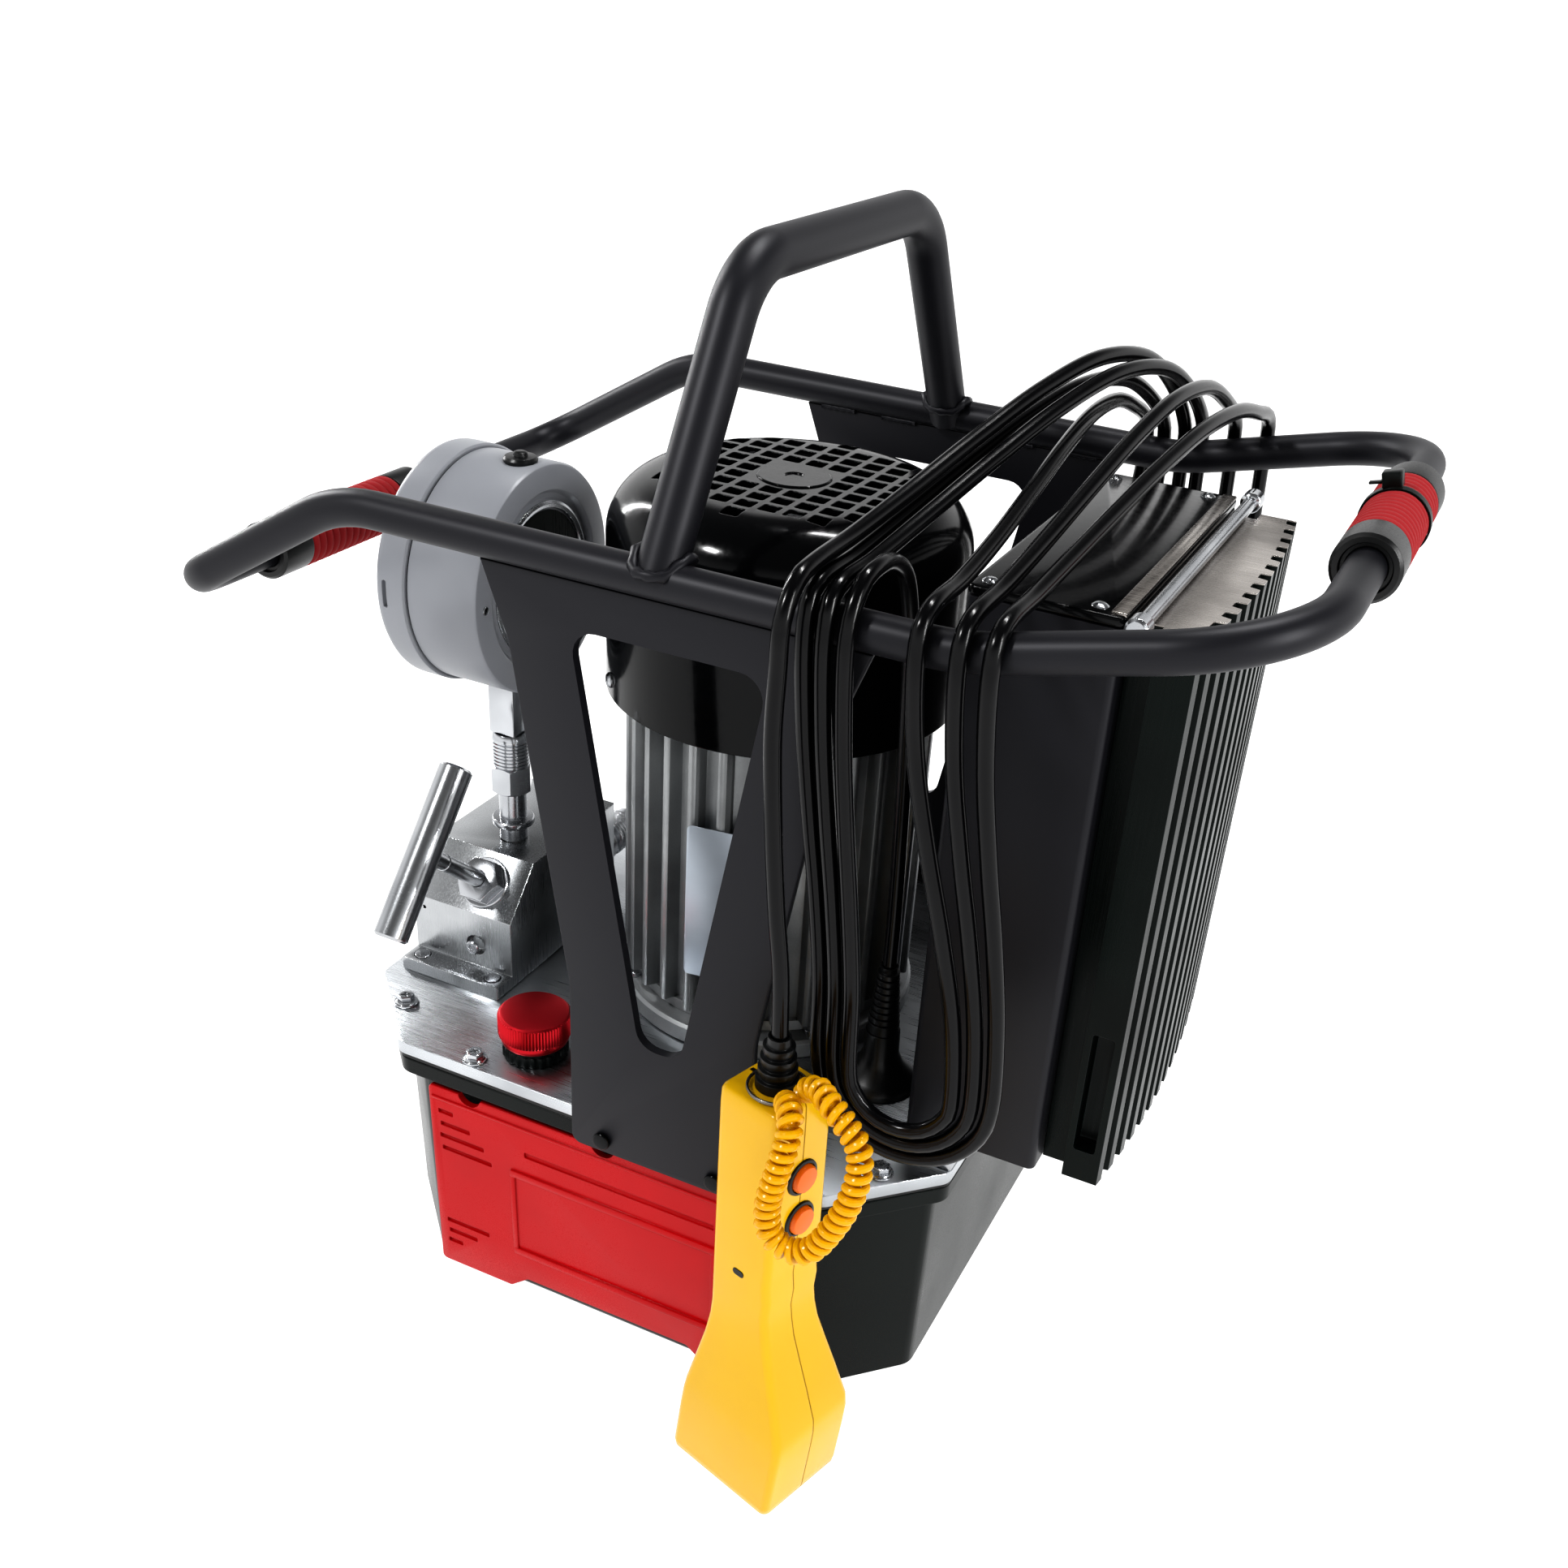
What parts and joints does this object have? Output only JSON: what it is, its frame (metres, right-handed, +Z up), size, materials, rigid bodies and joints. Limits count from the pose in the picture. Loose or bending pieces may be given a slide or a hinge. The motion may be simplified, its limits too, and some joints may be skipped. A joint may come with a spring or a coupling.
{
  "type": "portable hydraulic power pack",
  "caption": "Portable electric hydraulic power pack: tank, vertical motor, pressure gauge, relief valve with T-bar, tubular carry frame, electrical box, heat sink and corded control pendant.",
  "frame": {"origin": "on the underside of the tank, below the middle of the carry frame and its arch handle", "axes": "+X along the side rails towards the electrical box and heat sink; -Y towards the front panel and pendant; +Z up"},
  "size_m": [0.589, 0.4515, 0.6062],
  "materials": {
    "machined_aluminium": "machined, lightly brushed",
    "gloss_black_powder_coat": "gloss powder coat",
    "moulded_black_plastic": "moulded, fine grain",
    "black_rubber": "glossy extruded jacket",
    "red_moulded_plastic": "moulded, satin",
    "red_anodised_aluminium": "anodised, knurled",
    "grey_case_plastic": "satin moulded",
    "plated_steel": "zinc plated, brushed",
    "polished_steel": "ground and polished",
    "cast_iron_core": "as cast",
    "dial_white": "matt white enamel",
    "clear_window": "clear",
    "yellow_pendant_plastic": "gloss moulded",
    "orange_button_plastic": "satin moulded",
    "red_foam_grip": "ribbed foam"
  },
  "bodies": {
    "root": {"arch_handle": "gloss_black_powder_coat", "bearing_lower": "plated_steel", "bearing_upper": "plated_steel", "box_foot": "plated_steel", "box_lid": "gloss_black_powder_coat", "cable_gland": "black_rubber", "clamp_rod": "plated_steel", "cord_gland_end": "black_rubber", "cord_hank_front": "black_rubber", "cord_hank_rear": "black_rubber", "cord_hank_top": "black_rubber", "cord_pendant_end": "black_rubber", "electrical_box": "gloss_black_powder_coat", "fan_cowl": "gloss_black_powder_coat", "filler_neck": "moulded_black_plastic", "gauge_case": "grey_case_plastic", "gauge_dial": "dial_white", "gauge_lens": "clear_window", "gauge_nipple": "plated_steel", "gauge_nut": "plated_steel", "gauge_ring": "grey_case_plastic", "gauge_socket": "plated_steel", "gland_boot": "black_rubber", "grip_left": "red_foam_grip", "grip_right": "red_foam_grip", "gusset_front": "gloss_black_powder_coat", "gusset_rear": "gloss_black_powder_coat", "heat_sink": "gloss_black_powder_coat", "motor_end_shield": "machined_aluminium", "motor_flange": "machined_aluminium", "motor_housing": "machined_aluminium", "motor_stator": "cast_iron_core", "outlet_advance": "plated_steel", "outlet_retract": "plated_steel", "pendant_boot": "black_rubber", "pendant_lanyard": "yellow_pendant_plastic", "pendant_shell_back": "yellow_pendant_plastic", "pendant_shell_front": "yellow_pendant_plastic", "plate_screw_front_left": "plated_steel", "plate_screw_front_right": "plated_steel", "plate_screw_rear_left": "plated_steel", "plate_screw_rear_right": "plated_steel", "pump_unit": "cast_iron_core", "rail_loop": "gloss_black_powder_coat", "relief_gland": "plated_steel", "run_capacitor": "moulded_black_plastic", "suction_strainer": "plated_steel", "tank": "moulded_black_plastic", "tank_front_panel": "red_moulded_plastic", "tank_seal": "black_rubber", "top_plate": "machined_aluminium", "valve_block": "machined_aluminium"},
    "relief_valve": {"relief_stem": "plated_steel", "relief_t_bar": "polished_steel"},
    "filler_cap": {"oil_cap": "red_anodised_aluminium"},
    "pointer": {"gauge_pointer": "moulded_black_plastic"},
    "rotor": {"motor_rotor": "plated_steel", "motor_fan": "moulded_black_plastic"},
    "advance_button": {"button_advance": "orange_button_plastic"},
    "retract_button": {"button_retract": "orange_button_plastic"}
  },
  "joints": [
    {"name": "relief_valve_turn", "type": "hinge", "parent": "root", "child": "relief_valve", "pos_m": [-0.165, -0.0795, 0.2215], "axis": [0, -0.7574, 0.6529], "range_deg": [-630, 630]},
    {"name": "filler_cap_turn", "type": "hinge", "parent": "root", "child": "filler_cap", "pos_m": [-0.094, -0.136, 0.18], "axis": [0, 0, 1], "range_deg": [0, 90]},
    {"name": "pointer_turn", "type": "hinge", "parent": "root", "child": "pointer", "pos_m": [-0.19, -0.046, 0.403], "axis": [-1, 0, 0], "range_deg": [0, 270], "stiffness_Nm_per_rad": 0.002, "springref_deg": -11.46},
    {"name": "rotor_spin", "type": "hinge", "parent": "root", "child": "rotor", "pos_m": [-0.018, 0, 0.3], "axis": [0, 0, 1], "continuous": true},
    {"name": "advance_button_press", "type": "slide", "parent": "root", "child": "advance_button", "axis": [-0.9563, 0.2924, 0], "range_m": [0, 0.003], "stiffness_N_per_m": 400, "springref_m": -0.001},
    {"name": "retract_button_press", "type": "slide", "parent": "root", "child": "retract_button", "axis": [-0.9563, 0.2924, 0], "range_m": [0, 0.003], "stiffness_N_per_m": 400, "springref_m": -0.001}
  ]
}
